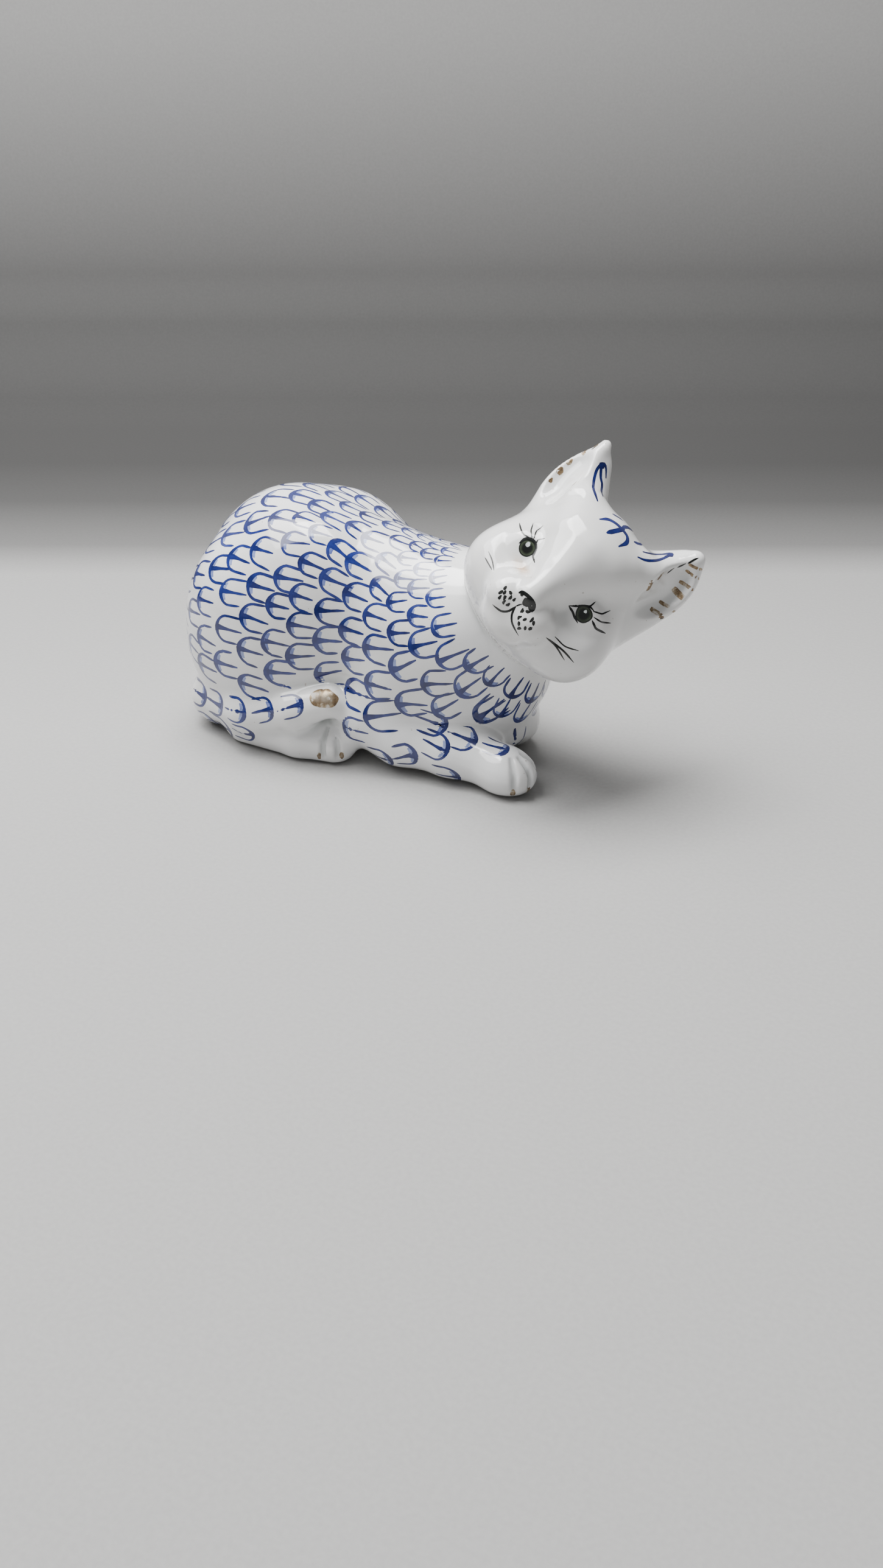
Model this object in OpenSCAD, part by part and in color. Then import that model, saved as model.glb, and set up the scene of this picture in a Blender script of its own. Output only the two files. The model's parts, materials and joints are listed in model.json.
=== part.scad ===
// Hollow slip-cast porcelain cat, lying down with its head turned and tilted.
// Origin: centre of the flat foot. +X runs towards the head, +Y is the cat's left, +Z is up.
// Each casting is a closed skin around a soft field: ellipsoid and limb lumps that run into
// each other over a blend width. Skins are found by walking out from a spine to the surface.

/* [Casting] */
// Wall thickness of the hollow castings
wall = 3.2; // [2.6:0.1:3.8]
// Diameter of the vent hole in the foot
vent_d = 6; // [4:0.5:9]
// Distance of the vent hole behind the centre of the foot
vent_back = 20; // [10:1:30]

/* [Head] */
// Turn of the head towards the cat's right
head_turn = -7; // [-10:1:-4]
// Forward lean of the head about its own left-right line
head_lean = -36; // [-39:1:-33]
// Sideways tilt of the head
head_tilt = 40; // [36:1:44]
// Height of the ear tips above the middle of the head
ear_tip_h = 32.3; // [30:0.1:34]
// How far the nose leather stands in front of the middle of the head
nose_reach = 25; // [24.4:0.1:25.6]

/* [Neck joint] */
// Angle between the neck joint and the horizontal
neck_lean = 50; // [47:1:53]
// How far the bead of slip stands proud of the neck
bead_h = 0.9; // [0.5:0.1:1.2]
// Half the width of the bead of slip
bead_w = 1.5; // [1:0.1:2]

/* [Tail] */
// Height of the tail's middle line at its tip
tail_tip_z = 20; // [18:0.5:22]
// Radius of the tail's tip
tail_tip_r = 4.4; // [3.6:0.1:4.8]

/* [Hidden] */

RIGHT = -1;
LEFT = 1;
UP = [0, 0, 1];
BACK = [0, 1, 0];
GLAZE = [0.93, 0.94, 0.95];
SLIP = [0.86, 0.87, 0.87];
// halvings of the search distance when a skin point is found
HALVINGS = 13;
// a block larger than the whole figure, for flat cuts
BLOCK = 200;

// --- head and neck placement ---
head_at = [51.5, 1, 55.5];
neck_at = [40, 1, 45.5];
neck_axis = [sin(neck_lean), 0, cos(neck_lean)];

// --- lumps of the torso: [middle, radii, blend width] ---
rump = [[-28.5, 0, 34], [31, 28.5, 36], 0];
barrel = [[-2, 0, 31], [27, 21.5, 31], 14];
chest = [[20, 2, 26], [21, 23.5, 27], 12];
neck_low = [10, 0, 36, 20];
neck_top = [38, 1, 44, 16];
neck_blend = 12;
shoulder = [[22, 12, 36], [12, 12, 14], 8];
breast = [[32.6, 4, 26], [15, 15, 16], 6];
function haunches(side) = [[[-28, 14 * side, 31], [22.5, 18, 27], 5],
                           [[-35, 15 * side, 28], [22.5, 17, 26], 5],
                           [[-36, 14 * side, 39], [19.2, 14.5, 19], 5],
                           [[-20, 12 * side, 40], [22.5, 15, 26.6], 5]];
belly = [[-6, 0, 8], [48, 20, 10], 8];
function upper_arm(side) = [[9, 13 * side, 24], [11, 11, 13], 5];

// --- limbs: chains of [x, y, z, radius] ---
foreleg_r = [[4, -17.5, 14.5, 10], [13, -17, 9.5, 8.6], [28, -16.2, 8, 7.4], [43, -15.8, 6.2, 6.2]];
paw_r = [[45.5, -16.2, 5.5], [8.5, 7.3, 6.5], 3];
foreleg_l = [[6, 19.5, 12.5, 10.5], [18, 17, 9, 9], [28, 14, 9, 8.5], [36, 9, 8, 7]];
tail_chain = [[-52, 8, 9, 9], [-53, -8, 9, 8.8], [-47, -19, 9, 8.6], [-31, -26, 11.5, 8],
              [-16, -27.2, 15.5, 6.3], [-5, -26.5, tail_tip_z, tail_tip_r]];
function hind_chain(side) = [[-34, 23 * side, 6, 8], [-16, 24 * side, 6, 7.5],
                             [-6, 22.5 * side, 5, 6.5]];

// --- field functions: negative inside, about the distance in mm outside ---
function blend(a, b, k) = let (h = max(k - abs(a - b), 0) / k) min(a, b) - h * h * k / 4;
function carve(a, b, k) = -blend(-a, b, k);
function egg_at(q, r) =
    let (a = [q.x / r.x, q.y / r.y, q.z / r.z], n = norm(a))
    n < 0.001 ? -min(r) : n * (n - 1) / norm([a.x / r.x, a.y / r.y, a.z / r.z]);
function egg(p, lump) = egg_at(p - lump[0], lump[1]);
function middle(v) = [v[0], v[1], v[2]];
function limb(p, a, b) =
    let (from = middle(a), run = middle(b) - from, t = max(0, min(1, (p - from) * run / (run * run))))
    norm(p - from - t * run) - (a[3] + t * (b[3] - a[3]));
function chain(p, pts, k, n) =
    n == 1 ? limb(p, pts[0], pts[1]) : blend(chain(p, pts, k, n - 1), limb(p, pts[n - 1], pts[n]), k);
function limbs(p, pts, k) = chain(p, pts, k, len(pts) - 1);
function add_lumps(d, p, lumps, i = 0) =
    i == len(lumps) ? d : add_lumps(blend(d, egg(p, lumps[i]), lumps[i][2]), p, lumps, i + 1);

function torso_field(p) =
    let (trunk = add_lumps(egg(p, rump), p, [barrel, chest]),
         necked = blend(trunk, limb(p, neck_low, neck_top), neck_blend))
    add_lumps(necked, p, concat([shoulder, breast], haunches(RIGHT), haunches(LEFT),
                                [belly, upper_arm(RIGHT), upper_arm(LEFT)]));

// --- the head has its own frame: x to the cat's left, y to the back, z up ---
function about_x(v, a) = [v.x, v.y * cos(a) - v.z * sin(a), v.y * sin(a) + v.z * cos(a)];
function about_y(v, a) = [v.x * cos(a) + v.z * sin(a), v.y, v.z * cos(a) - v.x * sin(a)];
function about_z(v, a) = [v.x * cos(a) - v.y * sin(a), v.x * sin(a) + v.y * cos(a), v.z];
function from_head(q) = head_at + about_z(about_y(about_x(q, head_lean), head_tilt), head_turn);
function to_head(p) = about_x(about_y(about_z(p - head_at, -head_turn), -head_tilt), -head_lean);

skull = [[0, 1, 0], [21.8, 20.5, 22.3], 0];
cheeks = [[[-11.5, -8, -8], [11, 11, 11], 6], [[12.8, -8, -8], [11, 11, 11], 6]];
ear_root_left = [[17.2, 1, 7.5], [5.5, 6, 8], 4];
muzzle = [[0, -11, -10], [12, 11, 10], 8];
forehead = [[0, -7.5, 10.5], [12.5, 12, 12], 6];
chin = [[0, -17.5, -17], [5.5, 5, 4], 4];
nose = [[0, -nose_reach, -7.2], [2.9, 2.1, 2.1], 2];
bridge = [[0, -17, 9, 5.2], [0, -23.6, -4.5, 3]];
function eye_hollow(q, s) = egg_at(about_y(q - [s * 12.5, -25.5, 0.5], -s * 22), [7.5, 7.5, 7.5]);
function temple_hollow(q, s) = limb(q, [s * 13, -26, 4, 6], [s * 20, -17.5, 14, 4.5]);
function brow(s) = [[s * 2, -17.4, 2, 3.6], [s * 6.5, -14, 11, 4.4], [s * 11, -7, 18, 4.4],
                    [s * 14, 0, 20.5, 4.5]];
function pad(s) = [[s * 4.2, -20.8, -11.5], [5.8, 5.2, 5.2], 3];
function eyeball(s) = [[s * 11, -15.4, 0], [4.6, 2.4, 3.4], 3];

function plain_head(q) = add_lumps(egg(q, skull), q, concat(cheeks, [muzzle, forehead, ear_root_left]));
function hollowed(d, q, s) = carve(carve(d, eye_hollow(q, s), 6), temple_hollow(q, s), 6);
function face_side(d, q, s) = add_lumps(blend(d, limbs(q, brow(s), 1.5), 5), q, [pad(s), eyeball(s)]);
function head_field(q) =
    let (sockets = hollowed(hollowed(plain_head(q), q, RIGHT), q, LEFT),
         bridged = blend(sockets, limb(q, bridge[0], bridge[1]), 6),
         sides = face_side(face_side(bridged, q, RIGHT), q, LEFT))
    add_lumps(sides, q, [chin, nose]);

// the two ears were finished by hand and differ a little
function ear_root(s) = s == RIGHT ? [-15, 1.5, 16, 7.2] : [14, 1.5, 16, 8];
function ear_tip(s) = s == RIGHT ? [-20.4, 0, ear_tip_h, 1.4] : [17.9, 0, ear_tip_h - 0.9, 2.1];
function ear_leaf(s) =
    s == RIGHT ? [[-18, 1, 18.8], [6.5, 5, 12], 3] : [[17.6, 1, 19.5], [7.2, 5, 12.3], 3];
function ear_edge(s) =
    s == RIGHT
    ? [[-19.9, -1.2, 31, 1], [-19.4, -1.8, 27, 1.3], [-17.6, -3.4, 21.5, 1.6], [-15.8, -6.5, 17.5, 1.8]]
    : [[17.9, -1.2, 30.5, 1.2], [16.4, -1.8, 27.5, 1.4], [15.2, -4.4, 23.2, 1.6], [14.9, -6.8, 19.5, 1.8]];
// the hollow of the ear: [middle, radii, lean towards the side]
function ear_cup(s) =
    s == RIGHT ? [[-21.5, -8.3, 18.5], [6.4, 8.3, 14.5], 17] : [[20, -8.3, 18.5], [6.4, 8.3, 13.5], -5];
function cup_field(q, cup) = egg_at(about_x(about_y(q - cup[0], cup[2]), 8), cup[1]);
function ear_field(q, s) =
    let (leaf = blend(limb(q, ear_root(s), ear_tip(s)), egg(q, ear_leaf(s)), 3),
         edged = blend(leaf, limbs(q, ear_edge(s), 1), 2))
    carve(edged, cup_field(q, ear_cup(s)), 1);

function foreleg_r_field(p) = add_lumps(limbs(p, foreleg_r, 2.5), p, [paw_r]);
function foreleg_l_field(p) = limbs(p, foreleg_l, 2);
function tail_field(p) = limbs(p, tail_chain, 1.5);
function hind_field(p, s) = limbs(p, hind_chain(s), 1.5);

// --- skins ---
function unit(v) = v / norm(v);
function reach(f, o, d, near, far, n = HALVINGS) =
    let (m = (near + far) / 2)
    n == 0 ? m
    : f(o + d * m) < 0 ? reach(f, o, d, m, far, n - 1)
    : reach(f, o, d, near, m, n - 1);
function along(path, w) =
    let (i = max(0, min(len(path) - 2, floor(w))))
    path[i] + (path[i + 1] - path[i]) * (w - i);
function tangent(path, w) =
    let (last = len(path) - 1) unit(along(path, min(last, w + 0.5)) - along(path, max(0, w - 0.5)));
// stations of a skin: [origin, tangent, angle]; the angle opens from the tangent line to square on
function stations(path, counts) =
    let (last = len(path) - 1)
    concat([for (i = [1 : counts[0] - 1])
               [path[0], tangent(path, 0), -90 + 90 * i / counts[0]]],
           [for (i = [0 : counts[1]])
               let (w = last * i / counts[1])
               [along(path, w), tangent(path, w), 0]],
           [for (i = [1 : counts[2] - 1])
               [path[last], tangent(path, last), 90 * i / counts[2]]]);
function aim(station, ref, b) =
    let (t = station[1], a = station[2])
    let (side = unit(cross(ref, t)), top = cross(t, side))
    t * sin(a) + (side * cos(b) + top * sin(b)) * cos(a);
function skin_points(f, path, counts, sides, ref, far) =
    let (last = len(path) - 1, t0 = tangent(path, 0), t1 = tangent(path, last))
    concat([path[0] - t0 * reach(f, path[0], -t0, 0, far)],
           [for (s = stations(path, counts), j = [0 : sides - 1])
               let (d = aim(s, ref, 360 * j / sides))
               s[0] + d * reach(f, s[0], d, 0, far)],
           [path[last] + t1 * reach(f, path[last], t1, 0, far)]);
function ring_count(counts) = counts[0] + counts[1] + counts[2] - 1;
function skin_faces(rings, sides) =
    let (end = rings * sides + 1)
    concat([for (j = [0 : sides - 1]) [0, 1 + j, 1 + (j + 1) % sides]],
           [for (i = [0 : rings - 2], j = [0 : sides - 1])
               let (k = (j + 1) % sides, a = 1 + i * sides, b = a + sides)
               each [[a + j, b + j, b + k], [a + j, b + k, a + k]]],
           [for (j = [0 : sides - 1])
               let (a = 1 + (rings - 1) * sides)
               [end, a + (j + 1) % sides, a + j]]);
module skin(f, path, counts, sides, ref = UP, far = 50) {
    polyhedron(skin_points(f, path, counts, sides, ref, far),
               skin_faces(ring_count(counts), sides), convexity = 6);
}
module head_skin(f, path, counts, sides, ref, far = 40) {
    polyhedron([for (q = skin_points(f, path, counts, sides, ref, far)) from_head(q)],
               skin_faces(ring_count(counts), sides), convexity = 6);
}

// --- flat cuts ---
module below_foot() {
    translate([-BLOCK / 2, -BLOCK / 2, -BLOCK]) cube(BLOCK);
}
module beyond_neck(side) {
    shift = side > 0 ? 0 : -BLOCK;
    translate(neck_at) rotate([0, neck_lean, 0]) translate([-BLOCK / 2, -BLOCK / 2, shift]) cube(BLOCK);
}

// --- castings ---
torso_path = [[-36, 0, 33], [-10, 0, 32], [14, 0, 33], neck_at];
head_path = [[0, 4, -1], [0, -6, -3]];

module torso_skin() {
    skin(function(p) torso_field(p), torso_path, [10, 26, 3], 52);
}
module head_outside() {
    head_skin(function(q) head_field(q), head_path, [10, 3, 24], 60, UP);
}
module tail_skin() {
    skin(function(p) tail_field(p), [for (v = tail_chain) middle(v)], [5, 28, 5], 22);
}

module torso() {
    color(GLAZE) difference() {
        torso_skin();
        skin(function(p) -blend(-torso_field(p) - wall, p.z - wall, 3), torso_path, [5, 14, 2], 28);
        below_foot();
        beyond_neck(1);
        translate([-vent_back, 0, -1]) cylinder(h = wall + 4, d = vent_d, $fn = 48);
    }
}

module head() {
    color(GLAZE) difference() {
        head_outside();
        head_skin(function(q) plain_head(q) + wall, head_path, [5, 2, 7], 24, UP);
        beyond_neck(-1);
    }
}

module ear(s) {
    tip = ear_tip(s);
    path = [[s * 14.5, 1.5, 15], [tip.x * 0.98, 0.3, tip.z - 2]];
    color(GLAZE) difference() {
        head_skin(function(q) ear_field(q, s), path, [5, 12, 4], 30, BACK);
        head_outside();
    }
}

// a limb is luted onto the outside of the torso and stands on the same plane
module luted_limb() {
    color(GLAZE) difference() {
        children();
        torso_skin();
        below_foot();
    }
}
module foreleg_right() {
    path = [for (v = foreleg_r) middle(v)];
    luted_limb() skin(function(p) foreleg_r_field(p), path, [4, 20, 6], 26);
}
module foreleg_left() {
    path = [for (v = foreleg_l) middle(v)];
    luted_limb() skin(function(p) foreleg_l_field(p), path, [4, 16, 6], 24);
}
module hind_foot(s) {
    path = [for (v = hind_chain(s)) middle(v)];
    luted_limb() difference() {
        skin(function(p) hind_field(p, s), path, [5, 10, 5], 22);
        if (s == RIGHT) tail_skin();
    }
}
module tail() {
    luted_limb() tail_skin();
}

// a rounded bead of slip laid in the corner where the neck meets the head
module neck_seam_bead() {
    sides = 60;
    across = [0, 1, 0];
    rise = cross(neck_axis, across);
    arc = [for (a = [-60 : 30 : 60]) a];
    rows = len(arc) + 3;
    function out(b) = across * cos(b) + rise * sin(b);
    torso_f = function(p) torso_field(p);
    head_f = function(p) head_field(to_head(p));
    function skin_r(f, b, up) = reach(f, neck_at + neck_axis * up, out(b), 0, 30);
    function section(b) =
        let (low = skin_r(torso_f, b, -bead_w), high = skin_r(head_f, b, bead_w))
        let (inner = max(skin_r(torso_f, b, 0), skin_r(head_f, b, 0)))
        concat([[low, -bead_w], [inner, 0], [high, bead_w]],
               [for (a = arc)
                   [(low + high) / 2 - (high - low) / 2 * sin(a) + bead_h * cos(a), -bead_w * sin(a)]]);
    points = [for (j = [0 : sides - 1])
                 let (b = 360 * j / sides)
                 for (v = section(b)) neck_at + out(b) * v[0] + neck_axis * v[1]];
    faces = [for (j = [0 : sides - 1], i = [0 : rows - 1])
                let (a = j * rows, b = ((j + 1) % sides) * rows, k = (i + 1) % rows)
                each [[a + i, b + i, b + k], [a + i, b + k, a + k]]];
    color(SLIP) polyhedron(points, faces, convexity = 6);
}

torso();
head();
ear(RIGHT);  // ear_right
ear(LEFT);  // ear_left
foreleg_right();
foreleg_left();
hind_foot(RIGHT);  // hind_foot_right
hind_foot(LEFT);  // hind_foot_left
tail();
neck_seam_bead();
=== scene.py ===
"""Glazed porcelain cat, painted with blue scale strokes, on a studio sweep.

The castings are one smooth field of ellipsoid and limb lumps, the same lumps as the CAD with toe grooves
added. The field is meshed once, cut into castings along the creases between them, and painted with thin
strokes that lie on the glaze. The cat's lengths are millimetres until a mesh is made; the studio's are metres.
"""
import json
import math

import bpy
import numpy as np
import openvdb
from mathutils import Matrix, Vector

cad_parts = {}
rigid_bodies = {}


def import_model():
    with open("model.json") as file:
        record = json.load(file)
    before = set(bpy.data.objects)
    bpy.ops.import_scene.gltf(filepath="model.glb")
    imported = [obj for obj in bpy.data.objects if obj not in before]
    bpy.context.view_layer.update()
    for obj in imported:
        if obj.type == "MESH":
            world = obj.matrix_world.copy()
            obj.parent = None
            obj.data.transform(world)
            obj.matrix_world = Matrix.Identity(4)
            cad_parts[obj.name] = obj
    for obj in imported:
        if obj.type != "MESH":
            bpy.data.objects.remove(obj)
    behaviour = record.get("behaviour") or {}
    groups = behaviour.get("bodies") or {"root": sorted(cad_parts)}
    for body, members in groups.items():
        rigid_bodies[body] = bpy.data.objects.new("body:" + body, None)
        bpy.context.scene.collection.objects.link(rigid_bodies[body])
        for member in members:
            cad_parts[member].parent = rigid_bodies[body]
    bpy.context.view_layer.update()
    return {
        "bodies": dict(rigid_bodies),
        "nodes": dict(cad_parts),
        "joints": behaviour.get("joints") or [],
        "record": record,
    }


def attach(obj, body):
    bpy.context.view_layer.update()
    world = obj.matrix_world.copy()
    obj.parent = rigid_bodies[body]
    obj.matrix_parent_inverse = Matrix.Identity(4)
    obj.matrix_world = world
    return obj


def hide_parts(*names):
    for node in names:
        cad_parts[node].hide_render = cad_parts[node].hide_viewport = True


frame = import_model()

MM = 0.001
RIGHT, LEFT = -1, 1
# step of the fine grid, and how many of its steps make one of the coarse grid
VOXEL = 0.725
COARSE = 4
WALL = 1.6
VENT_AT, VENT_R = (-20, 0), 3.0
SEED = 7
rng = np.random.default_rng(SEED)

# ---------------------------------------------------------------- field maths


def blend(a, b, k):
    h = np.maximum(k - np.abs(a - b), 0) / k
    return np.minimum(a, b) - h * h * k / 4


def carve(a, b, k):
    return -blend(-a, b, k)


def egg(p, middle, radii):
    q = (p - np.float32(middle)) / np.float32(radii)
    n = np.linalg.norm(q, axis=-1) + 1e-6
    return n * (n - 1) / (np.linalg.norm(q / np.float32(radii), axis=-1) + 1e-6)


def limb(p, start, end):
    a, run = np.float32(start[:3]), np.float32(end[:3]) - np.float32(start[:3])
    t = np.clip(((p - a) @ run) / (run @ run), 0, 1)
    return np.linalg.norm(p - a - t[..., None] * run, axis=-1) - (start[3] + t * (end[3] - start[3]))


def chain(p, points, k):
    d = limb(p, points[0], points[1])
    for start, end in zip(points[1:-1], points[2:]):
        d = blend(d, limb(p, start, end), k)
    return d


def add_lumps(d, p, lumps):
    for middle, radii, k in lumps:
        d = blend(d, egg(p, middle, radii), k)
    return d


def turn(axis, degrees):
    return np.array(Matrix.Rotation(math.radians(degrees), 3, axis))


# ---------------------------------------------------------------- the cat's lumps (as in the CAD)

NECK_AT = np.array([40.0, 1.0, 45.5])
NECK_LEAN = 50
NECK_AXIS = np.array([math.sin(math.radians(NECK_LEAN)), 0, math.cos(math.radians(NECK_LEAN))])
HEAD_AT = np.array([51.5, 1.0, 55.5])
HEAD_TURN, HEAD_TILT, HEAD_LEAN = -7, 40, -36
HEAD_AXES = turn("Z", HEAD_TURN) @ turn("Y", HEAD_TILT) @ turn("X", HEAD_LEAN)

FORELEG_RIGHT = [(4, -17.5, 14.5, 10), (13, -17, 9.5, 8.6), (28, -16.2, 8, 7.4), (43, -15.8, 6.2, 6.2)]
PAW_RIGHT = ((45.5, -16.2, 5.5), (8.5, 7.3, 6.5), 3)
FORELEG_LEFT = [(6, 19.5, 12.5, 10.5), (18, 17, 9, 9), (28, 14, 9, 8.5), (36, 9, 8, 7)]
TAIL = [(-52, 8, 9, 9), (-53, -8, 9, 8.8), (-47, -19, 9, 8.6), (-31, -26, 11.5, 8), (-16, -27.2, 15.5, 6.3),
        (-5, -26.5, 20, 4.4)]


def hind_chain(side):
    return [(-34, 23 * side, 6, 8), (-16, 24 * side, 6, 7.5), (-6, 22.5 * side, 5, 6.5)]


def torso_field(p):
    d = egg(p, (-28.5, 0, 34), (31, 28.5, 36))
    d = add_lumps(d, p, [((-2, 0, 31), (27, 21.5, 31), 14), ((20, 2, 26), (21, 23.5, 27), 12)])
    d = blend(d, limb(p, (10, 0, 36, 20), (38, 1, 44, 16)), 12)
    d = add_lumps(d, p, [((22, 12, 36), (12, 12, 14), 8), ((32.6, 4, 26), (15, 15, 16), 6)])
    for side in (RIGHT, LEFT):
        d = add_lumps(d, p, [((-28, 14 * side, 31), (22.5, 18, 27), 5),
                             ((-35, 15 * side, 28), (22.5, 17, 26), 5),
                             ((-36, 14 * side, 39), (19.2, 14.5, 19), 5),
                             ((-20, 12 * side, 40), (22.5, 15, 26.6), 5)])
    d = add_lumps(d, p, [((-6, 0, 8), (48, 20, 10), 8)])
    return add_lumps(d, p, [((9, 13 * side, 24), (11, 11, 13), 5) for side in (RIGHT, LEFT)])


def to_head(p):
    return ((p - HEAD_AT) @ HEAD_AXES).astype(np.float32)


def from_head(q):
    return HEAD_AT + np.asarray(q, float) @ HEAD_AXES.T


def head_field(q):
    d = egg(q, (0, 1, 0), (21.8, 20.5, 22.3))
    d = add_lumps(d, q, [((-11.5, -8, -8), (11, 11, 11), 6), ((12.8, -8, -8), (11, 11, 11), 6),
                         ((0, -11, -10), (12, 11, 10), 8), ((0, -7.5, 10.5), (12.5, 12, 12), 6),
                         ((17.2, 1, 7.5), (5.5, 6, 8), 4)])
    for s in (RIGHT, LEFT):
        lean = np.float32(turn("Y", s * 22))
        d = carve(d, egg((q - np.float32((s * 12.5, -25.5, 0.5))) @ lean, (0, 0, 0), (7.5, 7.5, 7.5)), 6)
        d = carve(d, limb(q, (s * 13, -26, 4, 6), (s * 20, -17.5, 14, 4.5)), 6)
    d = blend(d, limb(q, (0, -17, 9, 5.2), (0, -23.6, -4.5, 3)), 6)
    for s in (RIGHT, LEFT):
        brow = [(s * 2, -17.4, 2, 3.6), (s * 6.5, -14, 11, 4.4),
                (s * 11, -7, 18, 4.4), (s * 14, 0, 20.5, 4.5)]
        d = blend(d, chain(q, brow, 1.5), 5)
        d = add_lumps(d, q, [((s * 4.2, -20.8, -11.5), (5.8, 5.2, 5.2), 3),
                             ((s * 11, -15.4, 0), (4.6, 2.4, 3.4), 3)])
    return add_lumps(d, q, [((0, -17.5, -17), (5.5, 5, 4), 4), ((0, -25, -7.2), (2.9, 2.1, 2.1), 2)])


# each ear: its root and tip, its leaf, its front edge, and its hollow (middle, radii, lean towards the side)
EARS = {
    RIGHT: ([(-15, 1.5, 16, 7.2), (-20.4, 0, 32.3, 1.4)], ((-18, 1, 18.8), (6.5, 5, 12), 3),
            [(-19.9, -1.2, 31, 1), (-19.4, -1.8, 27, 1.3), (-17.6, -3.4, 21.5, 1.6), (-15.8, -6.5, 17.5, 1.8)],
            ((-21.5, -8.3, 18.5), (6.4, 8.3, 14.5), -17)),
    LEFT: ([(14, 1.5, 16, 8), (17.9, 0, 31.4, 2.1)], ((17.6, 1, 19.5), (7.2, 5, 12.3), 3),
           [(17.9, -1.2, 30.5, 1.2), (16.4, -1.8, 27.5, 1.4), (15.2, -4.4, 23.2, 1.6), (14.9, -6.8, 19.5, 1.8)],
           ((20, -8.3, 18.5), (6.4, 8.3, 13.5), 5)),
}


def ear_field(q, s):
    root, leaf, edge, (middle, radii, lean) = EARS[s]
    d = blend(add_lumps(limb(q, *root), q, [leaf]), chain(q, edge, 1), 2)
    hollow = (q - np.float32(middle)) @ np.float32(turn("Y", lean) @ turn("X", -8))
    return carve(d, egg(hollow, (0, 0, 0), radii), 1)


# (elevation on the paw, radius of the groove)
GROOVE_RISE = [(math.radians(-15), 0.7), (math.radians(28), 0.7), (math.radians(62), 0.3)]


def toe_grooves(d, p, middle, radii, around):
    """Grooves between the toes: thin limbs from the sole up over the paw, at angles round from +X."""
    for degrees in around:
        a = math.radians(degrees)
        line = [(middle[0] + radii[0] * math.cos(e) * math.cos(a),
                 middle[1] + radii[1] * math.cos(e) * math.sin(a),
                 middle[2] + radii[2] * math.sin(e), r) for e, r in GROOVE_RISE]
        d = carve(d, chain(p, line, 0.5), 1.2)
    return d


def foreleg_right_field(p):
    d = add_lumps(chain(p, FORELEG_RIGHT, 2.5), p, [PAW_RIGHT])
    return toe_grooves(d, p, PAW_RIGHT[0], PAW_RIGHT[1], (-54, -14, 26))


def hind_foot_field(p, side):
    *middle, radius = hind_chain(side)[-1]
    return toe_grooves(chain(p, hind_chain(side), 1.5), p, middle, (radius,) * 3, (50 * side, 92 * side))


# each limb: its field and how softly it runs into the body
LIMBS = {
    "tail": (lambda p: chain(p, TAIL, 1.5), 2.5),
    "hind_foot_right": (lambda p: hind_foot_field(p, RIGHT), 2),
    "hind_foot_left": (lambda p: hind_foot_field(p, LEFT), 2),
    "foreleg_right": (foreleg_right_field, 5),
    "foreleg_left": (lambda p: chain(p, FORELEG_LEFT, 2), 5),
}
EAR_BLEND = 5
NECK_BLEND = 1.0
FOOT_BLEND = 1.5


def body_side(p):
    d = torso_field(p)
    for field, k in LIMBS.values():
        d = blend(d, field(p), k)
    return d


def head_side(p):
    q = to_head(p)
    d = head_field(q)
    for s in (RIGHT, LEFT):
        d = blend(d, ear_field(q, s), EAR_BLEND)
    return d


def cat_field(p):
    p = np.asarray(p, np.float32)
    d = blend(body_side(p), head_side(p), NECK_BLEND)
    return -blend(-d, p[..., 2], FOOT_BLEND)


def slope(p, step=0.05):
    g = np.empty(p.shape)
    for i in range(3):
        e = np.zeros(3)
        e[i] = step
        g[:, i] = (cat_field(p + e) - cat_field(p - e)) / (2 * step)
    return g


def normals_at(p):
    g = slope(p)
    return g / np.linalg.norm(g, axis=1, keepdims=True)


def settle(p, passes=3):
    """Slides points onto the glaze."""
    p = np.array(p, float)
    for _ in range(passes):
        g = slope(p)
        p -= (cat_field(p) / np.maximum((g * g).sum(1), 0.25))[:, None] * g
    return p


# ---------------------------------------------------------------- meshing


def mesh_field(low, high):
    """Coarse grid everywhere, fine grid only near the surface, then a polygon skin."""
    low, big = np.array(low, float), VOXEL * COARSE
    count = np.ceil((np.array(high) - low) / big).astype(int) + 1
    axes = [low[i] + big * np.arange(count[i]) for i in range(3)]
    rough = cat_field(np.stack(np.meshgrid(*axes, indexing="ij"), -1))
    near = np.abs(rough) < big * 1.9
    spread = np.ones((COARSE,) * 3)
    full = np.kron(rough, spread).astype(np.float32)
    cells = np.argwhere(np.kron(near, spread))
    shift = (COARSE - 1) / 2
    fine = np.concatenate([cat_field(low + VOXEL * (part - shift)) for part in np.array_split(cells, 12)])
    full[tuple(cells.T)] = fine
    grid = openvdb.FloatGrid(big * 2)
    grid.copyFromArray(full)
    points, _, quads = grid.convertToPolygons(0.0, 0.0)
    return settle(low + VOXEL * (np.array(points) - shift), 2), np.array(quads)


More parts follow.
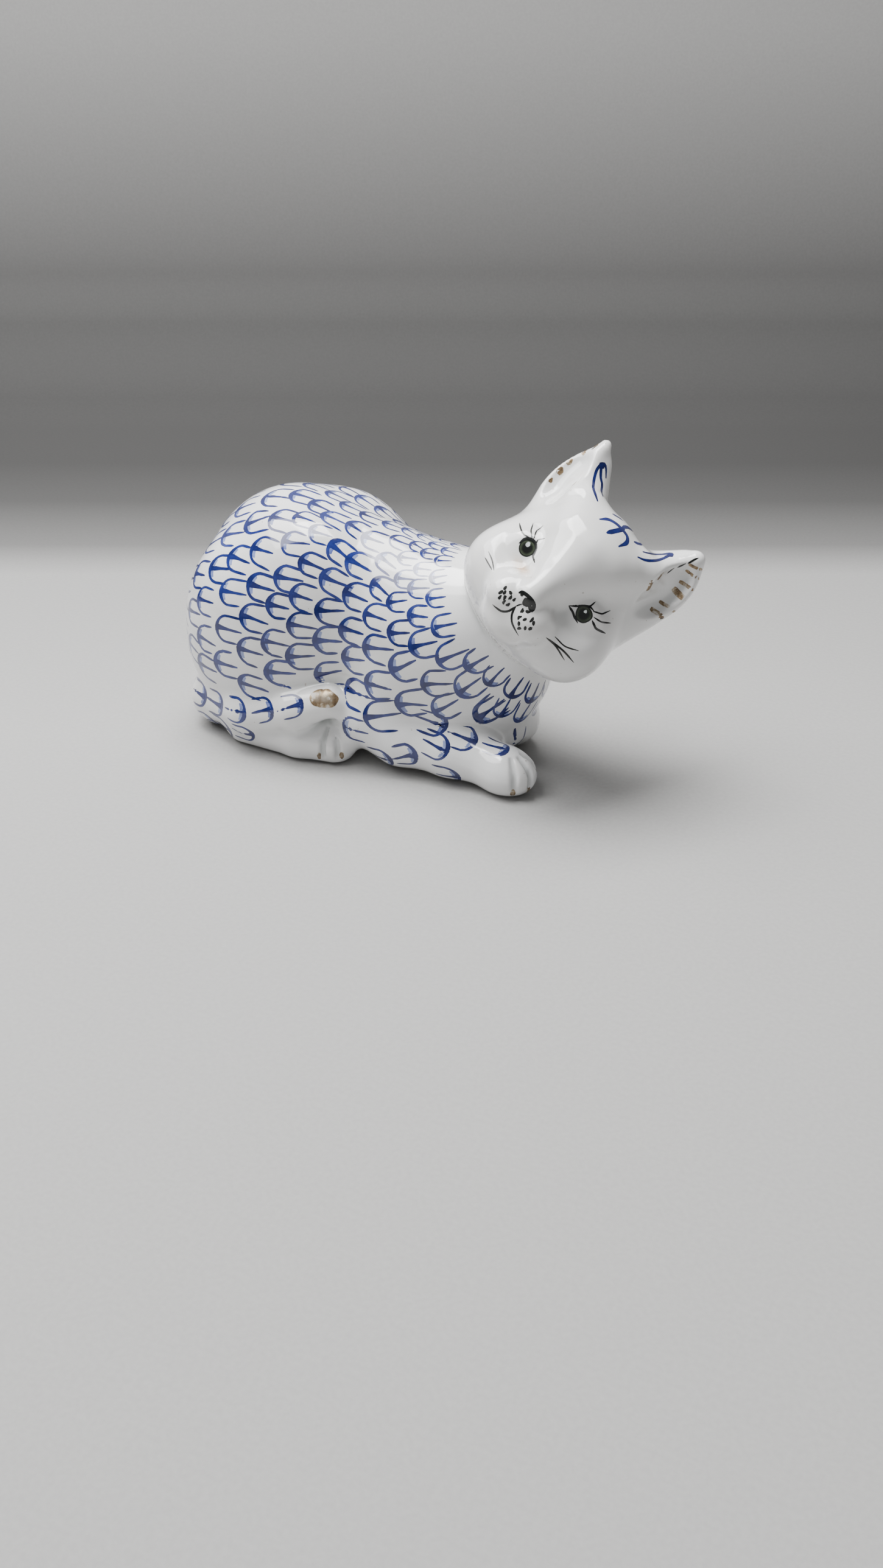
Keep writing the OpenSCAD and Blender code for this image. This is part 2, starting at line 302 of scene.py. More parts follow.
def cut(points, tris, level):
    """Cuts triangles along level = 0. Returns the points, and the triangles on either side."""
    side = level > 0
    mixed = side[tris].any(1) & ~side[tris].all(1)
    made, new_points, pieces = {}, [], {True: [], False: []}

    def crossing(a, b):
        key = (min(a, b), max(a, b))
        if key not in made:
            t = level[a] / (level[a] - level[b])
            made[key] = len(points) + len(new_points)
            new_points.append(points[a] + t * (points[b] - points[a]))
        return made[key]

    for tri in tris[mixed]:
        flags = [bool(side[v]) for v in tri]
        lone = flags.index(sum(flags) == 1)
        a, b, c = (int(tri[(lone + i) % 3]) for i in range(3))
        ab, ac = crossing(a, b), crossing(a, c)
        pieces[flags[lone]].append((a, ab, ac))
        pieces[not flags[lone]] += [(ab, b, c), (ab, c, ac)]
    whole = tris[~mixed]
    over = np.array(list(map(tuple, whole[side[whole[:, 0]]])) + pieces[True], int).reshape(-1, 3)
    under = np.array(list(map(tuple, whole[~side[whole[:, 0]]])) + pieces[False], int).reshape(-1, 3)
    return np.vstack([points, np.array(new_points).reshape(-1, 3)]), over, under


def shell(points, tris, normals):
    """Gives a casting its wall: an inner skin, thinner where the form is thin, and a rim at each cut edge."""
    deep = cat_field(points - normals * WALL)
    wall = np.clip(-deep * 0.8, 0.12, WALL)
    inner = points - normals * wall[:, None]
    count = len(points)
    edges = np.vstack([tris[:, [0, 1]], tris[:, [1, 2]], tris[:, [2, 0]]])
    codes = edges[:, 0] * count + edges[:, 1]
    rim = edges[~np.isin(codes, edges[:, 1] * count + edges[:, 0])]
    walls = np.vstack([np.column_stack([rim[:, 1], rim[:, 0], rim[:, 0] + count]),
                       np.column_stack([rim[:, 1], rim[:, 0] + count, rim[:, 1] + count])])
    return np.vstack([points, inner]), np.vstack([tris, tris[:, ::-1] + count, walls])


def in_use(count, faces):
    """The points that faces use, and the faces renumbered to them."""
    used = np.unique(faces)
    index = np.full(count, -1)
    index[used] = np.arange(len(used))
    return used, index[faces]


def add_mesh(name, points, faces, material, normals=None, attributes=None, replaces=()):
    """Makes one piece from points in millimetres and rides it on the body."""
    used, kept_faces = in_use(len(points), faces)
    mesh = bpy.data.meshes.new(name)
    mesh.from_pydata((points[used] * MM).tolist(), [], kept_faces.tolist())
    for key, values in (attributes or {}).items():
        layer = mesh.attributes.new(key, "FLOAT", "POINT")
        layer.data.foreach_set("value", np.asarray(values, np.float32)[used])
    mesh.shade_smooth()
    if normals is not None:
        mesh.normals_split_custom_set_from_vertices(normals[used].tolist())
    mesh.materials.append(material)
    piece = bpy.data.objects.new(name, mesh)
    bpy.context.collection.objects.link(piece)
    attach(piece, "root")
    if replaces:
        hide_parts(*replaces)
    return piece


# ---------------------------------------------------------------- materials


def node_material(name):
    material = bpy.data.materials.new(name)
    material.use_nodes = True
    nodes = material.node_tree.nodes
    return material, nodes, material.node_tree.links, nodes["Principled BSDF"]


def noise(nodes, links, scale, detail=2.0, rough=0.5):
    coords = nodes.new("ShaderNodeTexCoord")
    node = nodes.new("ShaderNodeTexNoise")
    node.inputs["Scale"].default_value = scale
    node.inputs["Detail"].default_value = detail
    node.inputs["Roughness"].default_value = rough
    links.new(coords.outputs["Object"], node.inputs["Vector"])
    return node.outputs["Fac"]


def ramp(nodes, links, source, stops):
    node = nodes.new("ShaderNodeValToRGB")
    first, last = node.color_ramp.elements
    first.position, last.position = stops[0][0], stops[-1][0]
    first.color, last.color = (*stops[0][1], 1), (*stops[-1][1], 1)
    for place, color in stops[1:-1]:
        node.color_ramp.elements.new(place).color = (*color, 1)
    links.new(source, node.inputs["Fac"])
    return node.outputs["Color"]


def mix(nodes, links, factor, a, b, mode="MIX"):
    node = nodes.new("ShaderNodeMix")
    node.data_type = "RGBA"
    node.blend_type = mode
    for socket, value in ((node.inputs["Factor"], factor), (node.inputs["A"], a), (node.inputs["B"], b)):
        if isinstance(value, (int, float)):
            socket.default_value = value
        elif isinstance(value, tuple):
            socket.default_value = (*value, 1)
        else:
            links.new(value, socket)
    return node.outputs["Result"]


def bump(nodes, links, shader, height, strength, distance):
    node = nodes.new("ShaderNodeBump")
    node.inputs["Strength"].default_value = strength
    node.inputs["Distance"].default_value = distance
    links.new(height, node.inputs["Height"])
    links.new(node.outputs["Normal"], shader.inputs["Normal"])


def attribute(nodes, name):
    node = nodes.new("ShaderNodeAttribute")
    node.attribute_name = name
    return node.outputs["Fac"]


def clear_glaze(nodes, links, shader):
    shader.inputs["Coat Weight"].default_value = 0.5
    shader.inputs["Coat Roughness"].default_value = 0.04
    bump(nodes, links, shader, noise(nodes, links, 130, 2), 0.25, 0.0002)


WHITE = (0.76, 0.757, 0.745)
THIN_GLAZE = (0.83, 0.825, 0.81)
POOLED_GLAZE = (0.62, 0.64, 0.63)


def porcelain_material():
    material, nodes, links, shader = node_material("glazed_porcelain")
    tone = ramp(nodes, links, noise(nodes, links, 22, 3), [(0.35, WHITE), (0.65, (0.84, 0.845, 0.85))])
    pooled = mix(nodes, links, attribute(nodes, "pool"), tone, POOLED_GLAZE)
    color = mix(nodes, links, attribute(nodes, "edge"), pooled, THIN_GLAZE)
    specks = ramp(nodes, links, noise(nodes, links, 900, 1),
                  [(0.0, (0, 0, 0)), (0.78, (0, 0, 0)), (0.82, (1, 1, 1))])
    color = mix(nodes, links, specks, color, (0.45, 0.42, 0.38))
    blotch = ramp(nodes, links, noise(nodes, links, 300, 4), [(0.3, (0.3,) * 3), (0.65, (1.0,) * 3)])
    soiled = mix(nodes, links, 1.0, blotch, attribute(nodes, "stain"), "MULTIPLY")
    color = mix(nodes, links, soiled, color, (0.56, 0.42, 0.31))
    links.new(color, shader.inputs["Base Color"])
    rough = ramp(nodes, links, noise(nodes, links, 60, 3), [(0.3, (0.09,) * 3), (0.7, (0.16,) * 3)])
    links.new(rough, shader.inputs["Roughness"])
    shader.inputs["IOR"].default_value = 1.5
    clear_glaze(nodes, links, shader)
    return material


PORCELAIN = porcelain_material()

# ---------------------------------------------------------------- castings

GRID_LOW, GRID_HIGH = (-68, -42, -3), (94, 42, 98)
points, quads = mesh_field(GRID_LOW, GRID_HIGH)
tris = np.vstack([quads[:, [0, 1, 2]], quads[:, [0, 2, 3]]])


def split_castings(points, tris):
    """Cuts the skin where each casting's own field meets its neighbour's."""
    castings = {}

    def divide(points, tris, ours, rest):
        return cut(points, tris, ours(points.astype(np.float32)) - rest(points.astype(np.float32)))

    points, body, head = divide(points, tris, head_side, body_side)
    for s, name in ((RIGHT, "ear_right"), (LEFT, "ear_left")):
        points, head, castings[name] = divide(points, head, lambda p: ear_field(to_head(p), s),
                                              lambda p: head_field(to_head(p)))
    castings["head"] = head
    for name, (field, _) in LIMBS.items():
        points, body, castings[name] = divide(points, body, field, torso_field)
    castings["torso"] = body
    return points, castings


points, castings = split_castings(points, tris)
normals = normals_at(points)


def bend_of(p, reach=1.6):
    """Positive in hollows and negative on ridges, in 1/mm."""
    total = -6 * cat_field(p)
    for i in range(3):
        e = np.zeros(3)
        e[i] = reach
        total = total + cat_field(p + e) + cat_field(p - e)
    return -total / reach ** 2


def cut_vent(points, body):
    away = np.hypot(points[:, 0] - VENT_AT[0], points[:, 1] - VENT_AT[1]) - VENT_R
    return cut(points, body, np.where(points[:, 2] < 1, away, 1.0))[:2]


points, castings["torso"] = cut_vent(points, castings["torso"])
normals = normals_at(points)
bend = bend_of(points)
STAIN_AT, STAIN_R = (-7.6, -4.3), (3.6, 1.5)
in_head = to_head(points)
stain = np.hypot((in_head[:, 0] - STAIN_AT[0]) / STAIN_R[0], (in_head[:, 2] - STAIN_AT[1]) / STAIN_R[1])
skin_attributes = {"pool": np.clip(bend * 1.6, 0, 1) * 0.8, "edge": np.clip(-bend * 1.2 - 0.25, 0, 1),
                   "stain": np.where(in_head[:, 1] < -15, np.clip(1.4 - stain, 0, 1), 0)}
for name, faces in castings.items():
    used, kept_faces = in_use(len(points), faces)
    solid, solid_faces = shell(points[used], kept_faces, normals[used])
    both = np.vstack([normals[used], -normals[used]])
    values = {key: np.tile(value[used], 2) for key, value in skin_attributes.items()}
    add_mesh(name + "_glazed", solid, solid_faces, PORCELAIN, both, values, [name])

# ---------------------------------------------------------------- painting tools

# cross-section of a brush line: (place across from -1 to 1, height as a share of the lift, share of the ink)
SECTION = [(-1, 0.3, 1.0), (0, 1, 0.9), (1, 0.3, 1.0), (1, -1, 1.0), (-1, -1, 1.0)]
# how deep a mark's underside is sunk in the glaze, and how high its top stands
SUNK = 0.06
LIFT = 0.045


def smooth_line(points, spacing):
    """A soft curve through a few points."""
    points = np.asarray(points, float)
    ends = np.vstack([2 * points[0] - points[1], points, 2 * points[-1] - points[-2]])
    out = []
    for i in range(len(points) - 1):
        a, b, c, d = ends[i:i + 4]
        steps = max(2, int(np.linalg.norm(c - b) / spacing) + 1)
        t = np.linspace(0, 1, steps, endpoint=i == len(points) - 2)[:, None]
        out.append(b + 0.5 * t * (c - a + t * (2 * a - 5 * b + 4 * c - d + t * (3 * (b - c) + d - a))))
    return np.vstack(out)


class Paint:
    """Collects brush marks that share a material, then lays them all on the glaze as one piece."""

    def __init__(self):
        self.points, self.depths, self.faces, self.ink, self.count = [], [], [], [], 0

    def add(self, points, depths, ink, faces):
        self.points.append(points)
        self.depths.append(depths)
        self.ink.append(ink)
        self.faces.append(np.asarray(faces) + self.count)
        self.count += len(points)

    def ribbon(self, line, side, widths, ink, lift=LIFT):
        """A brush line: a closed strip, domed a little, whose underside is sunk in the glaze."""
        n, k = len(line), len(SECTION)
        across, height, share = np.array(SECTION).T
        points = line[None] + side[None] * across[:, None, None] * (widths / 2)[None, :, None]
        points = points.reshape(-1, 3)
        depths = np.repeat(np.where(height > 0, lift * height, -SUNK), n)
        inks = (share[:, None] * np.broadcast_to(ink, n)[None]).ravel()
        i, m = np.meshgrid(np.arange(k), np.arange(n - 1), indexing="ij")
        a, b = (i * n + m).ravel(), (((i + 1) % k) * n + m).ravel()
        faces = np.vstack([np.column_stack([a, a + 1, b + 1]), np.column_stack([a, b + 1, b])])
        caps = [(0, (j + 1) * n, j * n) for j in range(1, k - 1)]
        caps += [(n - 1, j * n + n - 1, (j + 1) * n + n - 1) for j in range(1, k - 1)]
        self.add(points, depths, inks, np.vstack([faces, caps]))

    def stroke(self, frame, flat, widths, ink, lift=LIFT):
        """A brush line drawn in a flat frame (place, ahead, side) that touches the glaze."""
        place, ahead, side = frame
        flat = np.asarray(flat, float)
        run = np.gradient(flat, axis=0)
        run /= np.linalg.norm(run, axis=1, keepdims=True)
        self.ribbon(place + flat @ np.array([ahead, side]),
                    np.column_stack([-run[:, 1], run[:, 0]]) @ np.array([ahead, side]), widths, ink, lift)

    def line(self, points, width, ink=1.0, lift=LIFT, taper=(0.3, 0.3)):
        """A brush line through points near the glaze, thin at its ends."""
        line = settle(smooth_line(points, 0.7))
        ahead = np.gradient(line, axis=0)
        ahead /= np.linalg.norm(ahead, axis=1, keepdims=True)
        t = np.linspace(0, 1, len(line))
        swell = np.minimum(1, taper[0] + t * 4) * np.minimum(1, taper[1] + (1 - t) * 4)
        self.ribbon(line, np.cross(normals_at(line), ahead), width * swell, ink, lift)

    def patch(self, place, toward, length, width, ink=1.0, lift=LIFT, wobble=0.06, rings=4, sides=18):
        """A dab: a closed disc with an uneven rim. Its ink runs from 0 in the middle to 1 at the rim."""
        place = settle(np.asarray(place, float)[None])[0]
        normal = normals_at(place[None])[0]
        ahead = unit(toward - normal * np.dot(toward, normal))
        side = np.cross(normal, ahead)
        turn_to = np.linspace(0, 2 * math.pi, sides, endpoint=False)
        rim = 1 + wobble * (rng.normal(0, 1, 3)
                            @ np.sin(np.outer((2, 3, 5), turn_to) + rng.uniform(0, 6, 3)[:, None]))
        grow = np.arange(1, rings + 1) / rings
        flat = (grow[:, None] * rim)[..., None] * np.stack(
            [length / 2 * np.cos(turn_to), width / 2 * np.sin(turn_to)], -1)
        top = place + flat.reshape(-1, 2) @ np.array([ahead, side])
        points = np.vstack([place, top, top[-sides:]])
        depths = np.concatenate([[lift], np.repeat(lift * (1 - 0.7 * grow ** 4), sides),
                                 np.full(sides, -SUNK)])
        inks = ink * np.concatenate([[0], np.repeat(grow, sides), np.ones(sides)])
        j = np.arange(sides)
        nxt = (j + 1) % sides
        faces = [np.column_stack([np.zeros(sides, int), 1 + j, 1 + nxt])]
        for ring in range(rings):
            a, b = 1 + ring * sides, 1 + (ring + 1) * sides
            faces += [np.column_stack([a + j, b + j, b + nxt]), np.column_stack([a + j, b + nxt, a + nxt])]
        last = 1 + rings * sides
        faces.append(np.column_stack([np.full(sides - 2, last), last + j[2:], last + j[1:-1]]))
        self.add(points, depths, inks, np.vstack(faces))

    def lay(self, name, material, slot):
        points = settle(np.vstack(self.points))
        normals = normals_at(points)
        points += normals * np.concatenate(self.depths)[:, None]
        return add_mesh(name, points, np.vstack(self.faces), material, normals,
                        {"ink": np.concatenate(self.ink)})


def unit(v):
    v = np.asarray(v, float)
    return v / np.linalg.norm(v)


def first_exit(field, origins, directions, far, passes=14):
    """Where rays that start inside a field leave it."""
    low, high = np.zeros(len(origins)), np.full(len(origins), float(far))
    for _ in range(passes):
        middle = (low + high) / 2
        inside = field((origins + directions * middle[:, None]).astype(np.float32)) < 0
        low, high = np.where(inside, middle, low), np.where(inside, high, middle)
    return origins + directions * low[:, None]


def along(path, w):
    i = int(max(0, min(len(path) - 2, math.floor(w))))
    return np.array(path[i]) + (np.array(path[i + 1]) - np.array(path[i])) * (w - i)


# ---------------------------------------------------------------- blue scale strokes

# the body's middle line from rump to neck, and the point of it that the rings are counted back from
BODY_PATH = [(-36, 0, 33), (-10, 0, 32), (12, 0, 33), (28, 0.6, 37.5), (40, 1, 45.5), (47.7, 1, 51.9)]
NECK_U = 4
RING_STEP = 7.5
SCALE_L, SCALE_W = 1.0, 1.02
SCALE_GAP = 1.32
# shares of the brush's width and of its ink, from the tip of an arm inwards and from the root of the tine out
ARM_WIDTHS, ARM_INKS = [0.2, 0.48, 0.56, 0.56, 0.52], [0.9, 0.95, 0.95, 0.9, 0.85]
TINE_WIDTHS, TINE_INKS = [1.3, 0.85, 0.58, 0.58, 0.28], [1, 0.95, 0.9, 0.95, 0.9]
COLLAR = 16.5
BELLY_Z = 5.0
LIMB_SCALE_ROOM = 6.5
LIMB_CLEAR = 0.4


def body_ring(u, angles):
    """Points round the body. u runs from -1, the rump pole, through 0 to NECK_U."""
    w = max(u, 0)
    origin, ahead = along(BODY_PATH, w), unit(along(BODY_PATH, w + 0.5) - along(BODY_PATH, max(0, w - 0.5)))
    side = unit(np.cross((0, 0, 1), ahead))
    top, tip, turn_to = np.cross(ahead, side), math.radians(90 * min(u, 0)), np.radians(angles)[:, None]
    d = ahead * math.sin(tip) + (side * np.cos(turn_to) + top * np.sin(turn_to)) * math.cos(tip)
    return first_exit(body_side, np.tile(origin, (len(angles), 1)), d, 60)


def scale_mark(paint, frame, size):
    """One trident: a horseshoe closed at its place, a short middle tine, and a wash in its corners."""
    reach, half = SCALE_L * size * rng.uniform(0.93, 1.08), SCALE_W * size / 2 * rng.uniform(0.92, 1.06)
    brush = min(1, size / RING_STEP) * rng.uniform(1.3, 1.65)
    tone = rng.uniform(0.82, 1.0)
    bow = np.radians(np.linspace(105, 255, 11))
    horseshoe = np.column_stack([half * (0.95 + 0.95 * np.cos(bow)), half * np.sin(bow)])
    arms = []
    for way in (1, -1):
        tip = reach * rng.uniform(0.86, 1.1)
        flare = rng.normal(1.0, 0.08)
        arms.append([(tip * f, way * half * (1.0 - (1.0 - flare) * f ** 2))
                     for f in (1, 0.87, 0.74, 0.6, 0.48)])
    flat = np.vstack([arms[0], horseshoe, arms[1][::-1]])
    across = np.linspace(-1, 1, 11)
    pool = np.exp(-((across - rng.normal(0, 0.15)) / 0.4) ** 2)
    widths = np.concatenate([ARM_WIDTHS, 0.55 + 0.5 * pool, ARM_WIDTHS[::-1]])
    inks = tone * np.concatenate([ARM_INKS, 0.85 + 0.15 * pool, ARM_INKS[::-1]])
    paint.stroke(frame, flat, widths * brush, inks)
    tine, sway = reach * rng.uniform(0.95, 1.2), half * rng.normal(0, 0.12)
    stem = [(0.6, 0), (tine * 0.3, 0), (tine * 0.52, sway * 0.3), (tine * 0.76, sway * 0.7), (tine, sway)]
    paint.stroke(frame, stem, np.array(TINE_WIDTHS) * brush, tone * np.array(TINE_INKS))
    if rng.random() < 0.85:
        wash = np.radians(np.linspace(125, 235, 8))
        arc = np.column_stack([half * (0.98 + 0.78 * np.cos(wash)), half * 0.78 * np.sin(wash)])
        spread = np.array([0.3, 0.8, 1.1, 1.3, 1.3, 1.1, 0.8, 0.3]) * brush
        paint.stroke(frame, arc, spread, rng.uniform(0.15, 0.42), LIFT * 0.3)


def scale_marks(paint, places, aheads, sizes):
    normals = normals_at(places)
    for place, normal, ahead, size in zip(places, normals, aheads, sizes):
        ahead = unit(ahead - normal * (ahead @ normal))
        side, slant = np.cross(normal, ahead), math.radians(rng.normal(0, 6.5))
        scale_mark(paint, (place, ahead * math.cos(slant) + side * math.sin(slant),
                           side * math.cos(slant) - ahead * math.sin(slant)), size)


SHOULDER_X = 17


def limb_gap(p):
    """How far a point is from the limbs that carry strokes of their own; positive on the torso."""
    p = p.astype(np.float32)
    limbs = [chain(p, TAIL, 1.5), chain(p, hind_chain(RIGHT), 1.5), chain(p, hind_chain(LEFT), 1.5)]
    limbs += [chain(p, leg, 2) + np.clip((SHOULDER_X - p[:, 0]) * 2, 0, 20)
              for leg in (FORELEG_RIGHT, FORELEG_LEFT)]
    return np.min(limbs, axis=0) - np.minimum(torso_field(p), 0.3)


# chest rows: places back from the neck, their angles, and the pitch, size and room of the strokes
CHEST_ROWS = [11.5, 18, 24.5, 31, 37.5]
CHEST_FROM, CHEST_TO = 180, 360
CHEST_PITCH, CHEST_SIZE, CHEST_ROOM = 8.2, 6.4, 4.8


def neck_ring(back, turns):
    """Points of the chest round the neck's axis, a distance back from the neck joint."""
    rise, a = np.cross(NECK_AXIS, (0, 1, 0)), np.radians(turns)[:, None]
    out = np.cos(a) * (0, 1, 0) + np.sin(a) * rise
    return first_exit(body_side, np.tile(NECK_AT - NECK_AXIS * back, (len(turns), 1)), out, 60)


def chest_marks(taken):
    """Rows of strokes below the chin, where the rings of the body spread too far apart."""
    found = []
    for row, back in enumerate(CHEST_ROWS):
        turns = np.arange(CHEST_FROM, CHEST_TO, 0.5)
        ring = neck_ring(back, turns)
        run = np.concatenate([[0], np.cumsum(np.linalg.norm(np.diff(ring, axis=0), axis=1))])
        stops = np.interp(np.arange((row % 2) / 2 + 0.5, run[-1] / CHEST_PITCH) * CHEST_PITCH, run, turns)
        places, nexts = neck_ring(back, stops), neck_ring(back - 4, stops)
        for place, ahead in zip(places, nexts - places):
            middle = place + unit(ahead) * CHEST_SIZE * 0.5
            room = np.linalg.norm(np.vstack([taken] + [m[0][None] for m in found]) - middle, axis=1).min()
            clear = limb_gap(np.array([place, middle])).min() > LIMB_CLEAR
            if room > CHEST_ROOM and place[2] > BELLY_Z and clear:
                found.append((middle, place, ahead))
    return (np.array([f[1] for f in found]), np.array([f[2] for f in found]), np.full(len(found), CHEST_SIZE))


def paint_body(paint):
    samples = np.linspace(-1, NECK_U, 101)
    spine = np.array([body_ring(u, np.array([180.0]))[0] for u in samples])
    run = np.concatenate([[0], np.cumsum(np.linalg.norm(np.diff(spine, axis=0), axis=1))])
    angles = np.linspace(0, 360, 121)
    places, aheads, sizes = [], [], []
    for number, distance in enumerate(np.arange(run[-1] - COLLAR, 3, -RING_STEP)):
        u, u_next = np.interp([distance, distance + RING_STEP * 0.6], run, samples)
        ring, ahead_ring = body_ring(u, angles), body_ring(u_next, angles)
        steps = np.linalg.norm(np.diff(ring, axis=0), axis=1)
        local = np.clip(np.linalg.norm(ahead_ring - ring, axis=1) / 0.6, 4.6, 8.2)
        round_it = np.concatenate([[0], np.cumsum(steps / (local[1:] * SCALE_GAP))])
        count = max(5, round(round_it[-1]))
        flank = np.interp(180, angles, round_it)
        steps_on = np.arange(count) + (number % 2) / 2 + rng.normal(0, 0.05, count)
        stops = flank + steps_on * round_it[-1] / count
        turns = np.interp(stops % round_it[-1], round_it, angles)
        places.append(body_ring(u, turns))
        aheads.append(body_ring(u_next, turns) - places[-1])
        places[-1] = places[-1] + aheads[-1] * rng.normal(0, 0.15, (count, 1))
        sizes.append(np.interp(turns, angles, local))
    places, aheads, sizes = np.vstack(places), np.vstack(aheads), np.concatenate(sizes)
    lengths = (sizes / np.linalg.norm(aheads, axis=1))[:, None] * aheads
    clear = np.min([limb_gap(places + lengths * f) for f in (0, 0.5, 1)], axis=0)
    keep = (clear > LIMB_CLEAR) & (places[:, 2] > BELLY_Z)
    chest, chest_aheads, chest_sizes = chest_marks(places[keep] + lengths[keep] * 0.5)
    places, aheads = np.vstack([places, chest]), np.vstack([aheads, chest_aheads])
    sizes, keep = np.concatenate([sizes, chest_sizes]), np.concatenate([keep, np.full(len(chest), True)])
    lengths = (sizes / np.linalg.norm(aheads, axis=1))[:, None] * aheads
    for place, toward in TAIL_SCALES + FORELEG_SCALES + LEFT_FORELEG_SCALES:
        middle = np.array(place) + np.array(toward) * 0.45
        keep &= np.linalg.norm(places + lengths * 0.5 - middle, axis=1) > LIMB_SCALE_ROOM
    places = settle(places[keep])
    scale_marks(paint, places, aheads[keep], sizes[keep])


# strokes on the tail and the forelegs: (closed end, the way the arms point)
TAIL_SCALES = [
    ((-10.5, -31.5, 20), (-9, -1, -3.5)), ((-19.5, -33, 17), (-9, -1, -2.5)),
    ((-28.5, -33.8, 14), (-9, 0.5, -2)), ((-38, -31.8, 12.5), (-8, 4, -1)), ((-27.5, -32.4, 6), (-9, 1, 0)),
    ((-36.5, -30.5, 4.6), (-8, 4, 0)), ((-46, -27.7, 12), (-7, 6, 0)), ((-45, -27.2, 4), (-7, 6, 0)),
    ((-53.5, -21, 12), (-5, 8, 0)), ((-54, -21, 4), (-5, 8, 0)), ((-60, -12, 11), (-2, 9, 0)),
    ((-60.5, -11, 4), (-1, 9, 0)), ((-61, -2, 12), (0, 9, 0)), ((-61, -1, 4.5), (0, 9, 0)),
]
FORELEG_SCALES = [
    ((36.5, -18, 13.6), (-9, -1, 1)), ((30.5, -23, 11.5), (-9, -1.5, 1)),
    ((21.5, -24.8, 8.5), (-9, -1, 0.5)), ((27, -17, 16), (-9, -0.5, 1.5)), ((33.5, -21.4, 4), (-9, -1, 0)),
    ((14, -25.6, 5.2), (-8, 0, 0)), ((45.5, -16.5, 12.4), (-7, -1.5, 1.2)),
]
LEFT_FORELEG_SCALES = [
    ((27, 22.4, 8), (-9, 2, 0)), ((18.5, 25.4, 12), (-8, 1.5, 1)), ((33, 15, 14), (-7, 5, 0)),
    ((17, 25.8, 4.5), (-8, 1, 0)),
]


def limb_scales(marks, size):
    paint = Paint()
    places, aheads = (np.array([mark[i] for mark in marks], float) for i in (0, 1))
    scale_marks(paint, settle(places, 4), aheads, np.full(len(marks), size))
    return paint


def cobalt_material():
    material, nodes, links, shader = node_material("cobalt_underglaze")
    shade = ramp(nodes, links, attribute(nodes, "ink"),
                 [(0.12, (0.32, 0.38, 0.62)), (0.42, (0.09, 0.125, 0.37)),
                  (0.72, (0.016, 0.028, 0.17)), (1.0, (0.003, 0.007, 0.075))])
    blot = ramp(nodes, links, noise(nodes, links, 420, 3, 0.6),
                [(0.35, (0.7, 0.7, 0.72)), (0.7, (1.3, 1.3, 1.25))])
    links.new(mix(nodes, links, 1.0, shade, blot, "MULTIPLY"), shader.inputs["Base Color"])
    shader.inputs["Roughness"].default_value = 0.12
    clear_glaze(nodes, links, shader)
    return material


COBALT = cobalt_material()
body_paint = Paint()
paint_body(body_paint)
body_paint.lay("torso_blue_scales", COBALT, "porcelain")
limb_scales(TAIL_SCALES, 7.2).lay("tail_blue_scales", COBALT, "porcelain")
limb_scales(FORELEG_SCALES, 7.4).lay("foreleg_right_blue_scales", COBALT, "porcelain")
limb_scales(LEFT_FORELEG_SCALES, 7.0).lay("foreleg_left_blue_scales", COBALT, "porcelain")

# ---------------------------------------------------------------- blue strokes on the head

# brush lines in the head's own frame: (points, width)
CROWN_LINES = [
    ([(-4.6, -16.6, 18), (-3.4, -14.8, 19.8), (-1.5, -14, 20.6), (1, -13.6, 20.9), (3, -13.4, 20.8),
      (4.2, -14.8, 19.6), (3.9, -17.6, 17.4)], 1.0),
    ([(-0.6, -18.2, 17.2), (0.4, -15.2, 19.8), (1, -12.6, 21.6)], 1.1),
    ([(-4.2, -11.3, 21.7), (-2.6, -10.2, 22.3), (-1.2, -9.4, 22.7)], 0.8),
    ([(0.3, -13.2, 21.2), (0.9, -10.2, 22.5), (2.2, -7.4, 23)], 0.95),
    ([(4.9, -11.8, 21.3), (6, -9.4, 21.8), (6.3, -7, 22.3)], 0.8),
    ([(-2, -3, 23.6), (0.5, -1.5, 23.8), (3, -3, 23.5)], 0.95),
    ([(-1, 2.5, 23.2), (1, 4, 22.6), (3.2, 2.5, 23)], 0.95),
]
# one long scale on the inner back of each ear: its horseshoe, its tine and its pooled end
EAR_SCALES = [
    ([(-8.9, -11.9, 20.8), (-12.1, -9.6, 22), (-13.9, -6.5, 23.2), (-15.4, -4.8, 24.7), (-16.5, -3.9, 26.3),
      (-16.9, -3.1, 27.9), (-16.6, -2.4, 28.7), (-15.4, -2, 28.2), (-13.5, -2.2, 26.6)], [(-16.4, -3, 27.5),
      (-14.3, -3.7, 25.7), (-12.2, -4.3, 24.5), (-9.4, -8.7, 22.7)], (-16.6, -2.8, 28)),
    ([(8.6, -13.5, 19.6), (10.3, -11.9, 20.6), (11.7, -9.7, 22.3), (12.4, -6, 24.5), (12.7, -3.7, 26.2),
      (13, -2.6, 27.3), (12.4, -2.3, 26.9), (11.8, -3, 26), (10.5, -5, 24.1), (9.4, -9.2, 22.6),
      (8.2, -11, 21.5)], [(12.8, -3.2, 26.8), (12.2, -4.4, 25.3)], (12.8, -3, 26.8)),
]


def paint_head(paint):
    for points, width in CROWN_LINES:
        paint.line(from_head(points), width * 1.25, rng.uniform(0.9, 1.0))
    for horseshoe, tine, end in EAR_SCALES:
        paint.line(from_head(horseshoe), 0.85, 1.0, LIFT, (0.5, 0.5))
        paint.line(from_head(tine), 0.9, 1.0, LIFT, (1.0, 0.3))
        pool = [np.array(end) + (0, 0, 0.7), np.array(end) - (0, 0.3, 0.9)]
        paint.line(from_head(pool), 2.0, 1.0, LIFT, (0.6, 0.6))


head_paint = Paint()
paint_head(head_paint)
head_paint.lay("head_blue_strokes", COBALT, "porcelain")

# ---------------------------------------------------------------- the painted face


